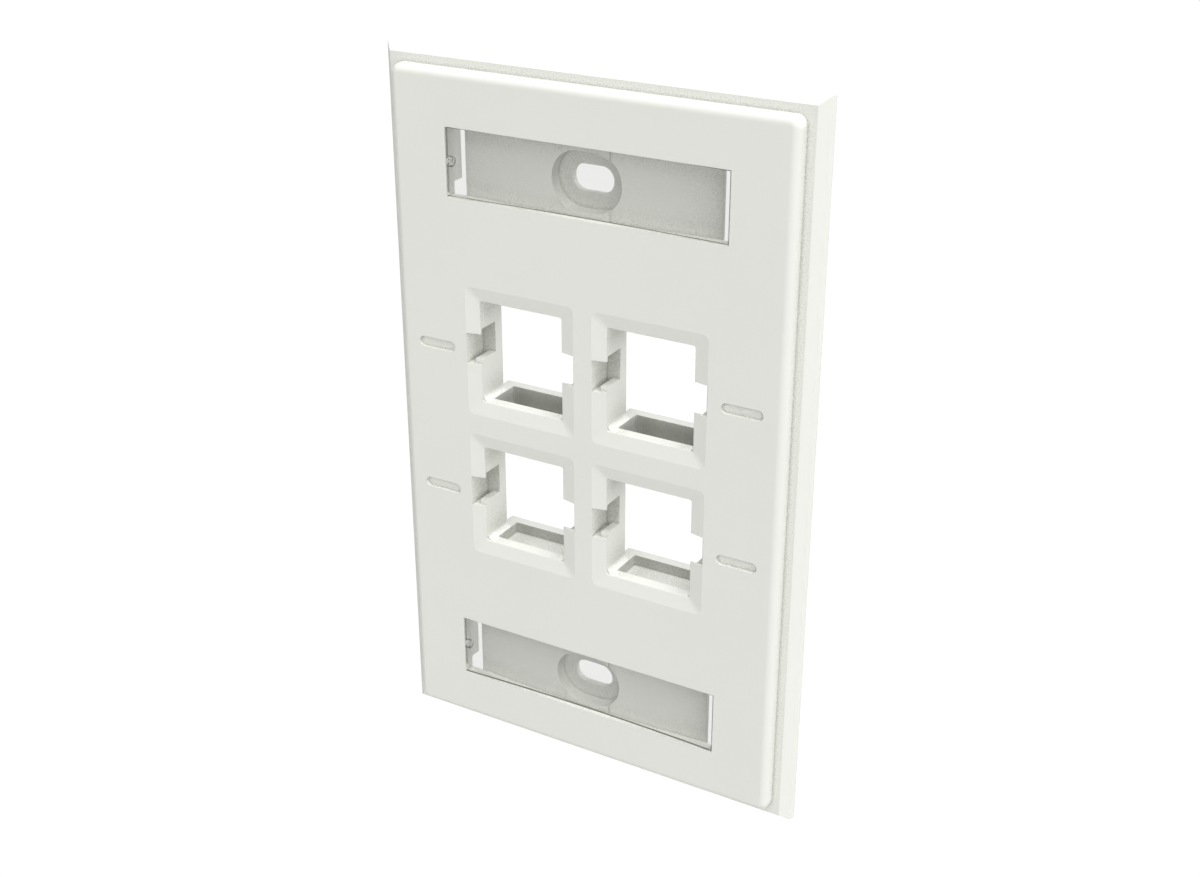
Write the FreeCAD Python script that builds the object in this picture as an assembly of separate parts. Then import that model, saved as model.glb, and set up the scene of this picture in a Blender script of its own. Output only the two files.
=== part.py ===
import FreeCAD, Part
import math
import os

Vector = FreeCAD.Vector

# Four-port keystone faceplate with two clear label covers, in millimetres.
# X runs across the plate, Y from its face into the wall and Z up.  Depths are measured
# from the front face; the finished pieces then move forward so that the wall is Y = 0.

# Moulded plate: a raised panel on a flange whose bevelled rim stands on the wall
panel_width = 65.9
panel_height = 110.5
panel_rise = 2.36
panel_corner_radius = 1.5
panel_edge_radius = 1.25
flange_border = 1.3
bevel_side = 1.34
bevel_end = 1.1
bevel_depth = 1.37
rim_depth = 1.02
rim_flare = 0.25
skin = 2.4
panel_wall = 1.65
rim_wall = 1.55
flange_thickness = 1.4
cavity_corner_radius = 1.0

# Label windows, centred on the two screws
screw_pitch = 83.34
window_width = 46.56
window_height = 10.62
window_end_gap = 2.08
floor_crown = 0.85
floor_thickness = 0.8
floor_wall = 1.2
label_space = 0.23
latch_tab_thickness = 1.12
latch_tab_depth = 2.05
latch_tab_height = 8.66

# Screw seats: a pad in the middle of each window with a slotted counterbore
pad_width = 7.86
counterbore_radius = 4.46
counterbore_spacing = 2.68
counterbore_floor = 1.0
boss_wall = 1.2
slot_width = 4.06
slot_length = 6.9

# Clear label covers
cover_thickness = 0.8
cover_inset = 0.08
cover_bow = 0.57
cover_clearance = 0.12
leg_thickness = 0.3
hook_reach = 0.32
hook_depth = 0.45
hook_height = 5.0
lug_thickness = 0.6
lug_radius = 0.8
lug_depth = 1.15
snap_radius = 0.7
snap_height = 0.4
snap_clearance = 0.08

# Keystone ports
port_columns = 2
port_rows = 2
port_pitch_across = 22.28
port_pitch_up = 24.54
port_width = 14.55
port_height = 16.7
port_corner_radius = 0.4
port_root_radius = 0.9
port_root_depth = 0.9
frame_border_side = 2.3
frame_border_end = 2.2
frame_corner_radius = 1.0
dish_depth = 0.55
housing_wall = 1.17
housing_depth = 6.48
ledge_floor = 1.25
ledge_depth = 9.85
latch_wall_thickness = 1.6
latch_wall_depth = 8.2
latch_wall_chamfer = 0.9
heel_pocket_inset = 0.82
heel_pocket_front = 2.53
heel_pocket_back = 8.22
upper_heel_pocket_depth = 3.2
lower_heel_pocket_depth = 1.75
heel_pocket_radius = 0.25

# Notches in both side borders of every port, with closed pockets behind them.
# Heights are measured from the port's centre.
notch_bottom = -2.07
notch_top = 2.88
notch_lip = 0.8
notch_skin = 0.8
notch_pocket_depth = 4.63
notch_pocket_wall = 1.0
left_sill = 0.8
right_drop = 1.25

# Shallow obround recesses beside the ports
recess_offset = 26.23
recess_length = 6.65
recess_width = 1.63
recess_depth = 0.5

# Extra reach of a cutting tool past the face that it opens
overcut = 1.0

plate_depth = panel_rise + bevel_depth + rim_depth
flange_width = panel_width + 2 * flange_border
flange_height = panel_height + 2 * flange_border
rim_width = flange_width + 2 * bevel_side
rim_height = flange_height + 2 * bevel_end
base_width = rim_width + 2 * rim_flare

floor_length = window_width - 2 * window_end_gap
pad_depth = cover_inset + cover_bow + cover_thickness
floor_crown_depth = pad_depth + label_space
floor_end_depth = floor_crown_depth + floor_crown
floor_back = floor_end_depth + floor_thickness
boss_radius = counterbore_radius + boss_wall

housing_width = port_width + 2 * housing_wall
frame_width = port_width + 2 * frame_border_side
frame_height = port_height + 2 * frame_border_end
deepest = max(ledge_depth, latch_wall_depth, housing_depth, plate_depth) + overcut


# A block between two corners
def block(x_from, x_to, y_from, y_to, z_from, z_to):
    corner = Vector(x_from, y_from, z_from)
    return Part.makeBox(x_to - x_from, y_to - y_from, z_to - z_from, corner)


# A block centred on X = 0 and Z = 0
def centred_block(width, height, y_from, y_to):
    return block(-width / 2, width / 2, y_from, y_to, -height / 2, height / 2)


# An upright rectangle at one depth, with rounded corners, as a closed wire
def rounded_outline(width, height, bottom_radius, top_radius, depth):
    corners = [
        (-1, -1, bottom_radius, 180),
        (1, -1, bottom_radius, 270),
        (1, 1, top_radius, 0),
        (-1, 1, top_radius, 90),
    ]
    arcs = []
    for side, level, radius, start in corners:
        x = side * (width / 2 - radius)
        z = level * (height / 2 - radius)
        points = []
        for turn in (0, 45, 90):
            angle = math.radians(start + turn)
            points.append(Vector(x + radius * math.cos(angle), depth, z + radius * math.sin(angle)))
        arcs.append(points)
    edges = []
    for index, points in enumerate(arcs):
        following = arcs[(index + 1) % len(arcs)]
        edges.append(Part.Arc(*points).toShape())
        edges.append(Part.LineSegment(points[2], following[0]).toShape())
    return Part.Wire(edges)


# A prism along Y on a closed wire
def prism(wire, length):
    return Part.Face(wire).extrude(Vector(0, length, 0))


def rounded_block(width, height, radius, y_from, y_to):
    return prism(rounded_outline(width, height, radius, radius, y_from), y_to - y_from)


# A slot shape along X: two half circles joined by straight sides
def obround(radius, spacing, y_from, y_to):
    half = spacing / 2
    top_left = Vector(-half, y_from, radius)
    top_right = Vector(half, y_from, radius)
    bottom_right = Vector(half, y_from, -radius)
    bottom_left = Vector(-half, y_from, -radius)
    right_tip = Vector(half + radius, y_from, 0)
    left_tip = Vector(-half - radius, y_from, 0)
    edges = [
        Part.LineSegment(top_left, top_right).toShape(),
        Part.Arc(top_right, right_tip, bottom_right).toShape(),
        Part.LineSegment(bottom_right, bottom_left).toShape(),
        Part.Arc(bottom_left, left_tip, top_left).toShape(),
    ]
    return prism(Part.Wire(edges), y_to - y_from)


def rectangle(width, height, depth):
    x = width / 2
    z = height / 2
    points = [(-x, -z), (x, -z), (x, z), (-x, z), (-x, -z)]
    return Part.makePolygon([Vector(px, depth, pz) for px, pz in points])


# A solid between two flat outlines, with straight sides
def tapered(front_wire, back_wire):
    return Part.makeLoft([front_wire, back_wire], True, True)


def moved(shape, x, z):
    copy = shape.copy()
    copy.translate(Vector(x, 0, z))
    return copy


def port_centres():
    centres = []
    for column in range(port_columns):
        for row in range(port_rows):
            x = (column - (port_columns - 1) / 2) * port_pitch_across
            z = (row - (port_rows - 1) / 2) * port_pitch_up
            centres.append((x, z))
    return centres


def window_centres():
    return [(0, screw_pitch / 2), (0, -screw_pitch / 2)]


def recess_centres():
    centres = []
    for row in range(port_rows):
        z = (row - (port_rows - 1) / 2) * port_pitch_up
        centres.append((-recess_offset, z))
        centres.append((recess_offset, z))
    return centres


# Plate body

# The raised panel has its front edge rounded over all round
def raised_panel():
    panel = rounded_block(panel_width, panel_height, panel_corner_radius, 0, panel_rise + bevel_depth)
    front_edges = [edge for edge in panel.Edges if edge.BoundBox.YMax < panel_edge_radius / 2]
    return panel.makeFillet(panel_edge_radius, front_edges)


def flange():
    foot = rectangle(flange_width, flange_height, panel_rise)
    kink = rectangle(rim_width, rim_height, panel_rise + bevel_depth)
    base = rectangle(base_width, rim_height, plate_depth)
    return tapered(foot, kink).fuse(tapered(kink, base))


# The back is hollow: deep behind the panel, shallower behind the flange
def back_hollow():
    panel_hollow = rounded_block(
        panel_width - 2 * panel_wall, panel_height - 2 * panel_wall,
        cavity_corner_radius, skin, plate_depth + overcut)
    flange_hollow = rounded_block(
        base_width - 2 * rim_wall, rim_height - 2 * rim_wall,
        cavity_corner_radius, panel_rise + flange_thickness, plate_depth + overcut)
    return panel_hollow.fuse(flange_hollow)


def plate_body():
    return raised_panel().fuse(flange()).cut(back_hollow())


# Label windows and screw seats

# The tray that carries the window's floor, with the screw boss behind it
def window_tray():
    tray = centred_block(floor_length, window_height + 2 * floor_wall, skin - label_space, floor_back)
    boss = obround(boss_radius, counterbore_spacing, floor_crown_depth, plate_depth)
    tab = block(
        -window_width / 2 - latch_tab_thickness, -window_width / 2,
        skin - label_space, skin + latch_tab_depth,
        window_height / 2 - latch_tab_height, window_height / 2)
    return tray.fuse([boss, tab])


# The window's opening: an arched floor between two gaps that pass right through
def window_cutter():
    end = window_width / 2
    floor_end = floor_length / 2
    bottom = -window_height / 2

    def corner(x, depth):
        return Vector(x, depth, bottom)

    edges = [
        Part.LineSegment(corner(-end, -overcut), corner(-end, deepest)).toShape(),
        Part.LineSegment(corner(-end, deepest), corner(-floor_end, deepest)).toShape(),
        Part.LineSegment(corner(-floor_end, deepest), corner(-floor_end, floor_end_depth)).toShape(),
        Part.Arc(
            corner(-floor_end, floor_end_depth),
            corner(0, floor_crown_depth),
            corner(floor_end, floor_end_depth)).toShape(),
        Part.LineSegment(corner(floor_end, floor_end_depth), corner(floor_end, deepest)).toShape(),
        Part.LineSegment(corner(floor_end, deepest), corner(end, deepest)).toShape(),
        Part.LineSegment(corner(end, deepest), corner(end, -overcut)).toShape(),
        Part.LineSegment(corner(end, -overcut), corner(-end, -overcut)).toShape(),
    ]
    return Part.Face(Part.Wire(edges)).extrude(Vector(0, 0, window_height))


# The flat pad that the cover's middle rests on
def screw_pad():
    return centred_block(pad_width, window_height, pad_depth, floor_back)


# The round head of the cover's snap lug, standing out past the cover's left end
def snap_dome(clearance):
    dome = (snap_radius ** 2 + snap_height ** 2) / (2 * snap_height)
    end = cover_clearance - window_width / 2
    return Part.makeSphere(dome + clearance, Vector(end - snap_height + dome, lug_depth, 0))


def screw_cutter():
    counterbore = obround(counterbore_radius, counterbore_spacing, -overcut, plate_depth - counterbore_floor)
    slot = obround(slot_width / 2, slot_length - slot_width, -overcut, plate_depth + overcut)
    return counterbore.fuse(slot)


# Keystone ports

# The heel pockets of the ports above the middle are the deeper ones
def heel_pocket_depth(z):
    return upper_heel_pocket_depth if z > 0 else lower_heel_pocket_depth


# The walls round a port, solid until the opening is cut
def port_housing(pocket_depth):
    bottom = -port_height / 2 - pocket_depth - ledge_floor
    top = port_height / 2 + latch_wall_thickness
    side = housing_width / 2
    root = skin - dish_depth
    walls = block(-side, side, root, housing_depth, bottom, top)
    ledge = block(-side, side, root, ledge_depth, bottom, -port_height / 2)
    return walls.fuse([ledge, latch_wall(side, root, top)])


# The top wall that the jack's latch snaps behind, with its inner rear edge chamfered
def latch_wall(side, root, top):
    wall = block(-side, side, root, latch_wall_depth, port_height / 2, top)
    middle_height = (port_height / 2 + top) / 2
    middle_depth = (root + latch_wall_depth) / 2
    inner_rear = [
        edge for edge in wall.Edges
        if edge.BoundBox.ZMax < middle_height and edge.BoundBox.YMin > middle_depth
    ]
    return wall.makeChamfer(latch_wall_chamfer, inner_rear)


# Closed boxes behind the notches
def notch_boxes():
    side = frame_width / 2 + notch_pocket_wall
    top = notch_top + notch_lip + notch_pocket_wall
    back = notch_pocket_depth + notch_pocket_wall
    root = skin - dish_depth
    left = block(-side, 0, root, back, notch_bottom - notch_pocket_wall, top)
    right = block(0, side, root, back, notch_bottom - right_drop - notch_pocket_wall, top)
    return left.fuse(right)


def port_opening():
    front = prism(
        rounded_outline(port_width, port_height, port_corner_radius, port_corner_radius, -overcut),
        port_root_depth + overcut)
    rear = prism(
        rounded_outline(port_width, port_height, port_root_radius, port_corner_radius, port_root_depth),
        housing_depth - port_root_depth)
    beyond = centred_block(port_width, port_height, housing_depth, deepest)
    return front.fuse([rear, beyond])


# The border round a port slopes down from the plate's face to the opening
def port_dish():
    outer = rounded_outline(frame_width, frame_height, frame_corner_radius, frame_corner_radius, 0)
    inner = rounded_outline(port_width, port_height, port_corner_radius, port_corner_radius, dish_depth)
    return tapered(outer, inner)


# Each notch opens the border, the side wall and a pocket beside the wall
def port_notches():
    edge = port_width / 4
    wall = housing_width / 2
    side = frame_width / 2
    top = notch_top + notch_lip
    back = notch_pocket_depth
    return [
        block(-side, -edge, -overcut, notch_skin, notch_bottom, notch_top),
        block(-side, -wall, notch_skin, back, notch_bottom, top),
        block(-wall, -edge, notch_skin, back, notch_bottom + left_sill, top),
        block(edge, side, -overcut, notch_skin, notch_bottom, notch_top),
        block(edge, side, notch_skin, back, notch_bottom - right_drop, top),
    ]


# The pocket in the ledge that takes the heel of the jack
def heel_pocket(depth):
    width = port_width - 2 * heel_pocket_inset
    top = -port_height / 2 + heel_pocket_inset
    bottom = -port_height / 2 - depth
    pocket = block(-width / 2, width / 2, heel_pocket_front, heel_pocket_back, bottom, top)
    upright = [edge for edge in pocket.Edges if edge.BoundBox.ZLength > (top - bottom) / 2]
    return pocket.makeFillet(heel_pocket_radius, upright)


def port_cutter(pocket_depth):
    return port_opening().fuse([port_dish(), heel_pocket(pocket_depth)] + port_notches())


# Finished pieces

def faceplate():
    plate = plate_body()
    added = [moved(window_tray(), x, z) for x, z in window_centres()]
    for x, z in port_centres():
        added.append(moved(port_housing(heel_pocket_depth(z)), x, z))
        added.append(moved(notch_boxes(), x, z))
    plate = plate.fuse(added)
    openings = [moved(port_cutter(heel_pocket_depth(z)), x, z) for x, z in port_centres()]
    openings += [moved(window_cutter(), x, z) for x, z in window_centres()]
    plate = plate.cut(openings)
    seats = []
    for x, z in window_centres():
        seats.append(moved(screw_pad(), x, z))
    plate = plate.fuse(seats)
    recess = obround(recess_width / 2, recess_length - recess_width, -overcut, recess_depth)
    cuts = [moved(recess, x, z) for x, z in recess_centres()]
    for x, z in window_centres():
        cuts.append(moved(screw_cutter(), x, z))
        cuts.append(moved(snap_dome(snap_clearance), x, z))
    return plate.cut(cuts).removeSplitter()


# The clear sheet bows in towards the pad between its two ends
def cover_sheet(half, height):
    def arc(offset):
        return Part.Arc(
            Vector(-half, cover_inset + offset, -height / 2),
            Vector(0, cover_inset + cover_bow + offset, -height / 2),
            Vector(half, cover_inset + offset, -height / 2))

    front = arc(0).toShape()
    back = arc(cover_thickness).toShape()
    ends = [
        Part.LineSegment(front.Vertexes[i].Point, back.Vertexes[i].Point).toShape()
        for i in (0, 1)
    ]
    return Part.Face(Part.Wire([front, ends[1], back, ends[0]])).extrude(Vector(0, 0, height))


# A round-ended lug under the sheet's left end, whose head snaps into the window's wall
def snap_lug(half, root):
    stem = block(-half, -half + lug_thickness, root, lug_depth, -lug_radius, lug_radius)
    tip = Part.makeCylinder(lug_radius, lug_thickness, Vector(-half, lug_depth, 0), Vector(1, 0, 0))
    head = snap_dome(0).common(block(-half - snap_height, -half, 0, skin, -lug_radius, lug_radius))
    return stem.fuse([tip, head])


def label_cover():
    half = window_width / 2 - cover_clearance
    height = window_height - 2 * cover_clearance
    root = cover_inset + cover_thickness / 2
    leg_inner = half - leg_thickness
    leg_end = skin + hook_depth
    leg = block(leg_inner, half, root, leg_end, -height / 2, height / 2)
    hook = block(leg_inner, half + hook_reach, skin, leg_end, -hook_height / 2, hook_height / 2)
    return cover_sheet(half, height).fuse([leg, hook, snap_lug(half, root)]).removeSplitter()


def export(shape, name):
    shape.translate(Vector(0, -plate_depth, 0))
    shape.exportStep("parts/" + name + ".step")


os.makedirs("parts", exist_ok=True)
export(faceplate(), "faceplate")
for name, (x, z) in zip(("upper_label_cover", "lower_label_cover"), window_centres()):
    export(moved(label_cover(), x, z), name)
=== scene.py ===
import math
import bpy
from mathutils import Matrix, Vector


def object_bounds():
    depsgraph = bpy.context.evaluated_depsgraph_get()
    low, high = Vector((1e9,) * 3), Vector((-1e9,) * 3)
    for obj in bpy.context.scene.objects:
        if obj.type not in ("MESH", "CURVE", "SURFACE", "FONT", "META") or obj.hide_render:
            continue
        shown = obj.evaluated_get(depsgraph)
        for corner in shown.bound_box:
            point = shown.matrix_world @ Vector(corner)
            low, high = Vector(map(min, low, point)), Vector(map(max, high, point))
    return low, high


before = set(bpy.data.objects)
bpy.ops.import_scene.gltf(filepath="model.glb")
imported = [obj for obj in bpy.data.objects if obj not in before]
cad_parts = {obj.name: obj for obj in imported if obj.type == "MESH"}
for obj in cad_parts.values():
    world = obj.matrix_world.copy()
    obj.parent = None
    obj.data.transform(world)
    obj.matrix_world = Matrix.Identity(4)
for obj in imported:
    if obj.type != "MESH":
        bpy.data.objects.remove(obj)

cadBox = [list(corner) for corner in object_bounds()]
print("frame loaded:", ", ".join(sorted(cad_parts)))

mm = 0.001
white = (1, 1, 1, 1)


def hexToLinear(code):
    channels = [int(code[i:i + 2], 16) / 255 for i in (1, 3, 5)]
    return [c / 12.92 if c <= 0.04045 else ((c + 0.055) / 1.055) ** 2.4 for c in channels] + [1.0]


# adds one node, sets its properties and sockets, and links any socket given as an output
def addNode(tree, kind, settings=None, **inputs):
    node = tree.nodes.new(kind)
    for name, value in (settings or {}).items():
        setattr(node, name, value)
    for name, value in inputs.items():
        key = int(name[1:]) if name[0] == "i" and name[1:].isdigit() else name.replace("_", " ")
        if isinstance(value, bpy.types.NodeSocket):
            tree.links.new(value, node.inputs[key])
        else:
            node.inputs[key].default_value = value
    return node


def newMaterial(name):
    material = bpy.data.materials.new(name)
    material.use_nodes = True
    material.node_tree.nodes.clear()
    return material, material.node_tree


moulding = {
    "colour": "#E2E3DD",
    "paintedShadeColour": "#8C8D86",    # painted shade: the colour that deep recesses and tight creases are darkened towards, standing for what little light comes back out of them
    "farReach": 9.0,            # how far apart two walls still shade each other, mm
    "nearReach": 2.0,           # a plain inner corner alone doesn't count as a recess
    "enclosed": (0.2, 0.92),    # far openness over near openness: darkest, and no longer darkened
    "creaseReach": 0.6,
    "creaseOpenness": (0.4, 1.0),
    "creaseShade": 0.45,
    "opennessSamples": 12,
    "speckSize": 0.24,          # pits of the eroded mould, coarser than real ones so that they show, mm
    "speckRange": (0.3, 0.7),
    "speckAmount": 0.30,
    "speckOpenness": (1.0, 0.7),    # they show where the light is poor: not at all, and fully
    "grainDepth": 0.01,
    "grainStrength": 0.3,
    "flowSize": 28.0,           # faint clouding where the melt has flowed, mm
    "flowRange": (0.35, 0.65),
    "flowAmount": 0.02,
    "edgeRadius": 0.12,         # no mould has a perfectly sharp edge, mm
    "edgeSamples": 6,
    "roughness": (0.55, 0.68),
    "ior": 1.54,
}


# how open the surface is to its surroundings within a reach in mm
def openness(tree, reach):
    settings = {"samples": moulding["opennessSamples"], "only_local": True}
    return addNode(tree, "ShaderNodeAmbientOcclusion", settings, Distance=reach * mm).outputs["AO"]


# painted shade: 1 on open surfaces, and less the deeper a recess or the tighter a corner is; it darkens
# the colour itself
def recessShade(tree, far):
    near = openness(tree, moulding["nearReach"])
    crease = openness(tree, moulding["creaseReach"])
    ratio = addNode(tree, "ShaderNodeMath", {"operation": "DIVIDE"}, i0=far, i1=near)
    darkest, lightest = moulding["enclosed"]
    enclosure = addNode(tree, "ShaderNodeMapRange", Value=ratio.outputs[0],
                        From_Min=darkest, From_Max=lightest, To_Min=0.0, To_Max=1.0)
    tight, plain = moulding["creaseOpenness"]
    creased = addNode(tree, "ShaderNodeMapRange", Value=crease,
                      From_Min=tight, From_Max=plain, To_Min=1 - moulding["creaseShade"], To_Max=1.0)
    return addNode(tree, "ShaderNodeMath", {"operation": "MULTIPLY"},
                   i0=enclosure.outputs[0], i1=creased.outputs[0])


# off-white ABS from a finely spark-eroded mould: dull and even, with painted shade in its recesses and
# creases, and a faint speckle in that shade
def mouldedAbs():
    material, tree = newMaterial("mouldedAbsOffWhite")
    place = addNode(tree, "ShaderNodeTexCoord").outputs["Object"]
    specks = addNode(tree, "ShaderNodeTexNoise", Vector=place,
                     Scale=1 / (moulding["speckSize"] * mm), Detail=1.0, Roughness=0.6)
    flow = addNode(tree, "ShaderNodeTexNoise", Vector=place,
                   Scale=1 / (moulding["flowSize"] * mm), Detail=2.0)
    # painted shade: the colour is darkened where walls close around the surface, not by the lamps
    far = openness(tree, moulding["farReach"])
    shaded = recessShade(tree, far)

    # the speckle shows only inside the painted shade, where the surface is enclosed
    hidden, full = moulding["speckOpenness"]
    depth = addNode(tree, "ShaderNodeMapRange", Value=far,
                    From_Min=hidden, From_Max=full, To_Min=0.0, To_Max=1.0)
    pit, ridge = moulding["speckRange"]
    amount = moulding["speckAmount"]
    speck = addNode(tree, "ShaderNodeMapRange", Value=specks.outputs["Fac"],
                    From_Min=pit, From_Max=ridge, To_Min=-amount, To_Max=amount)
    speckLevel = addNode(tree, "ShaderNodeMath", {"operation": "MULTIPLY_ADD"},
                         i0=depth.outputs[0], i1=speck.outputs[0], i2=1.0)
    speckledShade = addNode(tree, "ShaderNodeMath", {"operation": "MULTIPLY"},
                       i0=shaded.outputs[0], i1=speckLevel.outputs[0])

    thin, thick = moulding["flowRange"]
    cloud = addNode(tree, "ShaderNodeMapRange", Value=flow.outputs["Fac"],
                    From_Min=thin, From_Max=thick, To_Min=0.0, To_Max=moulding["flowAmount"])
    shadeSpeckAndCloud = addNode(tree, "ShaderNodeMath", {"operation": "SUBTRACT", "use_clamp": True},
                      i0=speckledShade.outputs[0], i1=cloud.outputs[0])
    # painted shade: the colour runs from the deep shade colour to the plain colour by the shade factor,
    # with the clouding taken off
    colour = addNode(tree, "ShaderNodeMix", {"data_type": "RGBA"}, Factor=shadeSpeckAndCloud.outputs[0],
                     i6=hexToLinear(moulding["paintedShadeColour"]), i7=hexToLinear(moulding["colour"]))

    roughLow, roughHigh = moulding["roughness"]
    rough = addNode(tree, "ShaderNodeMapRange", Value=specks.outputs["Fac"],
                    From_Min=pit, From_Max=ridge, To_Min=roughLow, To_Max=roughHigh)
    softEdge = addNode(tree, "ShaderNodeBevel", {"samples": moulding["edgeSamples"]},
                       Radius=moulding["edgeRadius"] * mm)
    bump = addNode(tree, "ShaderNodeBump", Strength=moulding["grainStrength"],
                   Distance=moulding["grainDepth"] * mm,
                   Height=specks.outputs["Fac"], Normal=softEdge.outputs[0])
    shader = addNode(tree, "ShaderNodeBsdfPrincipled", Base_Color=colour.outputs[2],
                     Roughness=rough.outputs[0], IOR=moulding["ior"], Normal=bump.outputs[0])
    addNode(tree, "ShaderNodeOutputMaterial", Surface=shader.outputs[0])
    return material


clearSheet = {
    "tint": "#E8E8E7",
    "paintedEdgeShade": "#5A5A57",  # painted shade: its long narrow edges that face up or down pass little straight through and are painted dark grey
    "edgeUpright": (0.95, 0.6),     # how far a face looks up or down: a narrow edge, and a clear face
    "passing": "#F8F8F7",   # soft light that reaches what lies behind
    "roughness": 0.03,
    "ior": 1.585,
    "hazeSize": 6.0,        # slow waves left by the gate, mm
    "hazeDepth": 0.01,
    "hazeStrength": 0.2,
}


# clear polycarbonate from a polished tool: bright across its faces, with painted shade in dark grey
# along its long edges, which face up or down
def clearPolycarbonate():
    material, tree = newMaterial("polishedPolycarbonateClear")
    surface = addNode(tree, "ShaderNodeTexCoord")
    waves = addNode(tree, "ShaderNodeTexNoise", Vector=surface.outputs["Object"],
                    Scale=1 / (clearSheet["hazeSize"] * mm), Detail=1.0)
    bump = addNode(tree, "ShaderNodeBump", Strength=clearSheet["hazeStrength"],
                   Distance=clearSheet["hazeDepth"] * mm, Height=waves.outputs["Fac"])

    facing = addNode(tree, "ShaderNodeSeparateXYZ", Vector=surface.outputs["Normal"])
    upright = addNode(tree, "ShaderNodeMath", {"operation": "ABSOLUTE"}, i0=facing.outputs["Z"])
    edge, face = clearSheet["edgeUpright"]
    flat = addNode(tree, "ShaderNodeMapRange", Value=upright.outputs[0],
                   From_Min=edge, From_Max=face, To_Min=0.0, To_Max=1.0)
    # painted shade: edges that face up or down take the dark grey edge colour in place of the glass
    # tint
    tint = addNode(tree, "ShaderNodeMix", {"data_type": "RGBA"}, Factor=flat.outputs[0],
                   i6=hexToLinear(clearSheet["paintedEdgeShade"]), i7=hexToLinear(clearSheet["tint"]))
    glass = addNode(tree, "ShaderNodeBsdfPrincipled", Base_Color=tint.outputs[2],
                    Roughness=clearSheet["roughness"], IOR=clearSheet["ior"],
                    Transmission_Weight=flat.outputs[0], Normal=bump.outputs[0])

    passing = addNode(tree, "ShaderNodeBsdfTransparent", Color=hexToLinear(clearSheet["passing"]))
    path = addNode(tree, "ShaderNodeLightPath")
    soft = addNode(tree, "ShaderNodeMath", {"operation": "MAXIMUM"},
                   i0=path.outputs["Is Shadow Ray"], i1=path.outputs["Is Diffuse Ray"])
    mixed = addNode(tree, "ShaderNodeMixShader", Fac=soft.outputs[0],
                    i1=glass.outputs[0], i2=passing.outputs[0])
    addNode(tree, "ShaderNodeOutputMaterial", Surface=mixed.outputs[0])
    return material


def finishNode(name, material):
    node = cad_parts[name]
    node.data.materials.clear()
    node.data.materials.append(material)


finishNode("faceplate", mouldedAbs())
clear = clearPolycarbonate()
for name in ("upper_label_cover", "lower_label_cover"):
    finishNode(name, clear)
print("materials set")


studio = {
    "floorDrop": 160.0,     # the plate is held up as on a wall, well above the floor, mm
    "floorHalf": 6000.0,
    "floorColour": "#F6F6F5",
    "floorBounce": "#BCBCBA",       # what it throws back onto the plate
    "floorGlow": 0.9,
    "even": 0.57,           # light that reaches the plate from all sides
    "lean": (1.10, -0.6, 0.3),      # how much more comes from the right, the front and above
    "key": {"level": 0.21, "towards": (0.12, -0.26, 0.96), "softness": 16.0, "shadow": True},
    "fill": {"level": 0.40, "towards": (0.12, 0.20, 0.97), "softness": 16.0, "shadow": False},
}


# true for a ray that sees the backdrop directly, in a gloss or through the clear covers
def seesBackdrop(tree):
    path = addNode(tree, "ShaderNodeLightPath")
    direct = addNode(tree, "ShaderNodeMath", {"operation": "MAXIMUM"},
                     i0=path.outputs["Is Camera Ray"], i1=path.outputs["Is Glossy Ray"])
    return addNode(tree, "ShaderNodeMath", {"operation": "MAXIMUM"},
                   i0=direct.outputs[0], i1=path.outputs["Is Transmission Ray"]).outputs[0]


# matt white paint that shows as the backdrop and keeps a faint shadow
def paintedFloor():
    material, tree = newMaterial("paintedFloorPale")
    seen = seesBackdrop(tree)
    paint = addNode(tree, "ShaderNodeMix", {"data_type": "RGBA"}, Factor=seen,
                    i6=hexToLinear(studio["floorBounce"]), i7=hexToLinear(studio["floorColour"]))
    matt = addNode(tree, "ShaderNodeBsdfDiffuse", Color=paint.outputs[2])
    glow = addNode(tree, "ShaderNodeEmission", Strength=1.0)
    share = addNode(tree, "ShaderNodeMath", {"operation": "MULTIPLY"},
                    i0=seen, i1=studio["floorGlow"])
    mixed = addNode(tree, "ShaderNodeMixShader", Fac=share.outputs[0],
                    i1=matt.outputs[0], i2=glow.outputs[0])
    addNode(tree, "ShaderNodeOutputMaterial", Surface=mixed.outputs[0])
    return material


def paleFloor():
    low = cadBox[0][2] - studio["floorDrop"] * mm
    half = studio["floorHalf"] * mm
    corners = [(-half, -half, low), (half, -half, low), (half, half, low), (-half, half, low)]
    mesh = bpy.data.meshes.new("studioFloor")
    mesh.from_pydata(corners, [], [(0, 1, 2, 3)])
    mesh.materials.append(paintedFloor())
    floor = bpy.data.objects.new("studioFloor", mesh)
    bpy.context.collection.objects.link(floor)


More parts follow.
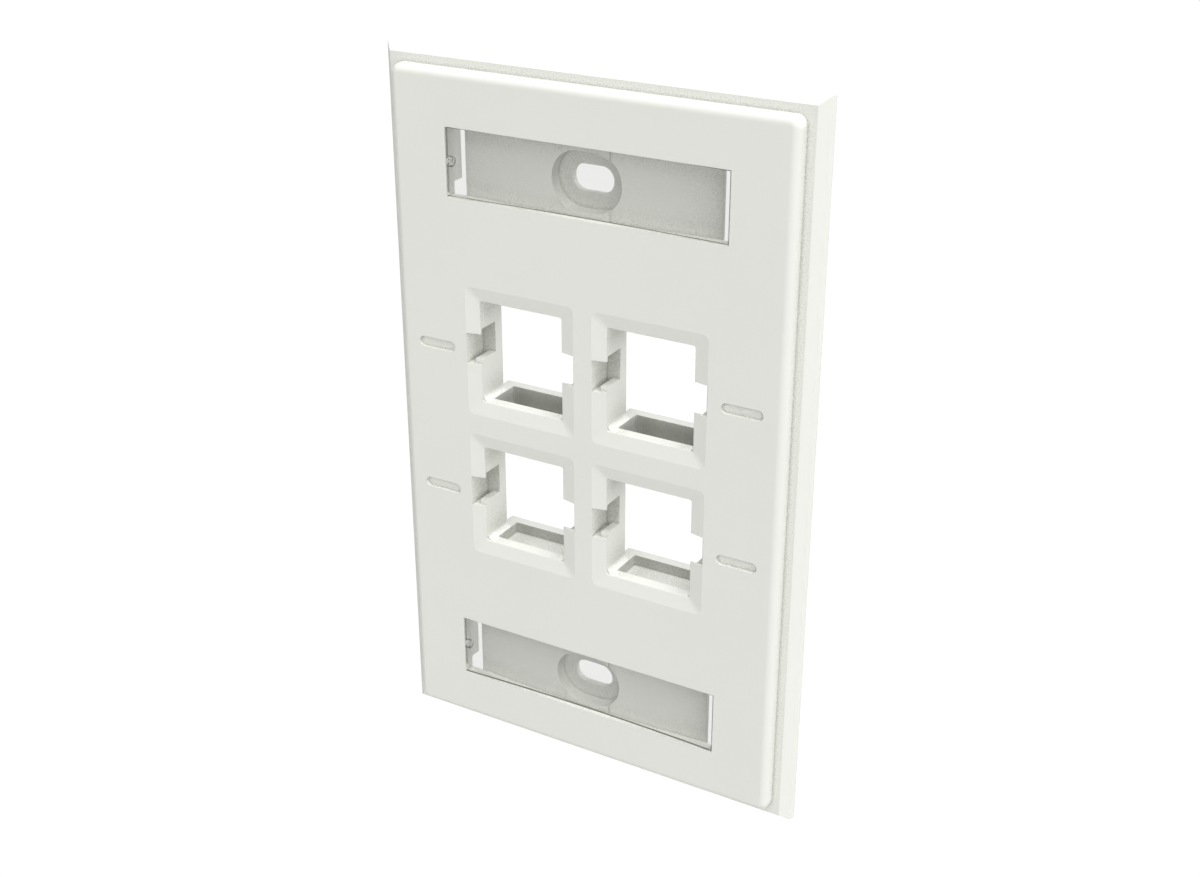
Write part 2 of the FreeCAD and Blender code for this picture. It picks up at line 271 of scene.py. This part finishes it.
# a large soft studio: light that grows towards the right, the front and above, and a white backdrop
def softStudio():
    world = bpy.data.worlds.new("softStudio")
    bpy.context.scene.world = world
    world.use_nodes = True
    tree = world.node_tree
    tree.nodes.clear()
    direction = addNode(tree, "ShaderNodeTexCoord").outputs["Generated"]
    lean = addNode(tree, "ShaderNodeVectorMath", {"operation": "DOT_PRODUCT"},
                   i0=direction, i1=studio["lean"])
    level = addNode(tree, "ShaderNodeMath", {"operation": "ADD"},
                    i0=lean.outputs["Value"], i1=studio["even"])
    base = addNode(tree, "ShaderNodeMath", {"operation": "MAXIMUM"}, i0=level.outputs[0], i1=0.0)
    light = addNode(tree, "ShaderNodeBackground", Color=white, Strength=base.outputs[0])
    backdrop = addNode(tree, "ShaderNodeBackground", Color=white, Strength=1.0)
    mixed = addNode(tree, "ShaderNodeMixShader", Fac=seesBackdrop(tree),
                    i1=light.outputs[0], i2=backdrop.outputs[0])
    addNode(tree, "ShaderNodeOutputWorld", Surface=mixed.outputs[0])


# an overhead soft light; its level is the share of its own colour that a surface facing it gives back
def overheadLight(name):
    values = studio[name]
    lamp = bpy.data.lights.new(name, "SUN")
    lamp.energy = values["level"] * math.pi
    lamp.angle = math.radians(values["softness"])
    lamp.use_shadow = values["shadow"]
    holder = bpy.data.objects.new(name, lamp)
    holder.rotation_euler = Vector(values["towards"]).to_track_quat("Z", "Y").to_euler()
    bpy.context.collection.objects.link(holder)


viewpoint = {
    "right": 116.55,        # from the middle of the plate's face, mm
    "forward": 196.46,
    "up": 108.32,
    "azimuth": 30.02,
    "elevation": 24.94,
    "lens": 49.97,
    "sensor": 36.0,
    "clip": (0.01, 100.0),  # nearest and farthest that it sees, m
}


def placeCamera():
    camera = bpy.data.cameras.new("camera")
    camera.lens = viewpoint["lens"]
    camera.sensor_width = viewpoint["sensor"]
    camera.clip_start, camera.clip_end = viewpoint["clip"]
    holder = bpy.data.objects.new("camera", camera)
    face = cadBox[0][1]
    holder.location = (viewpoint["right"] * mm, face - viewpoint["forward"] * mm, viewpoint["up"] * mm)
    holder.rotation_euler = (
        math.radians(90 - viewpoint["elevation"]), 0, math.radians(viewpoint["azimuth"]))
    bpy.context.collection.objects.link(holder)
    bpy.context.scene.camera = holder


paleFloor()
softStudio()
for name in ("key", "fill"):
    overheadLight(name)
placeCamera()
bpy.context.scene.view_settings.view_transform = "Standard"
print("stage, light and camera set")
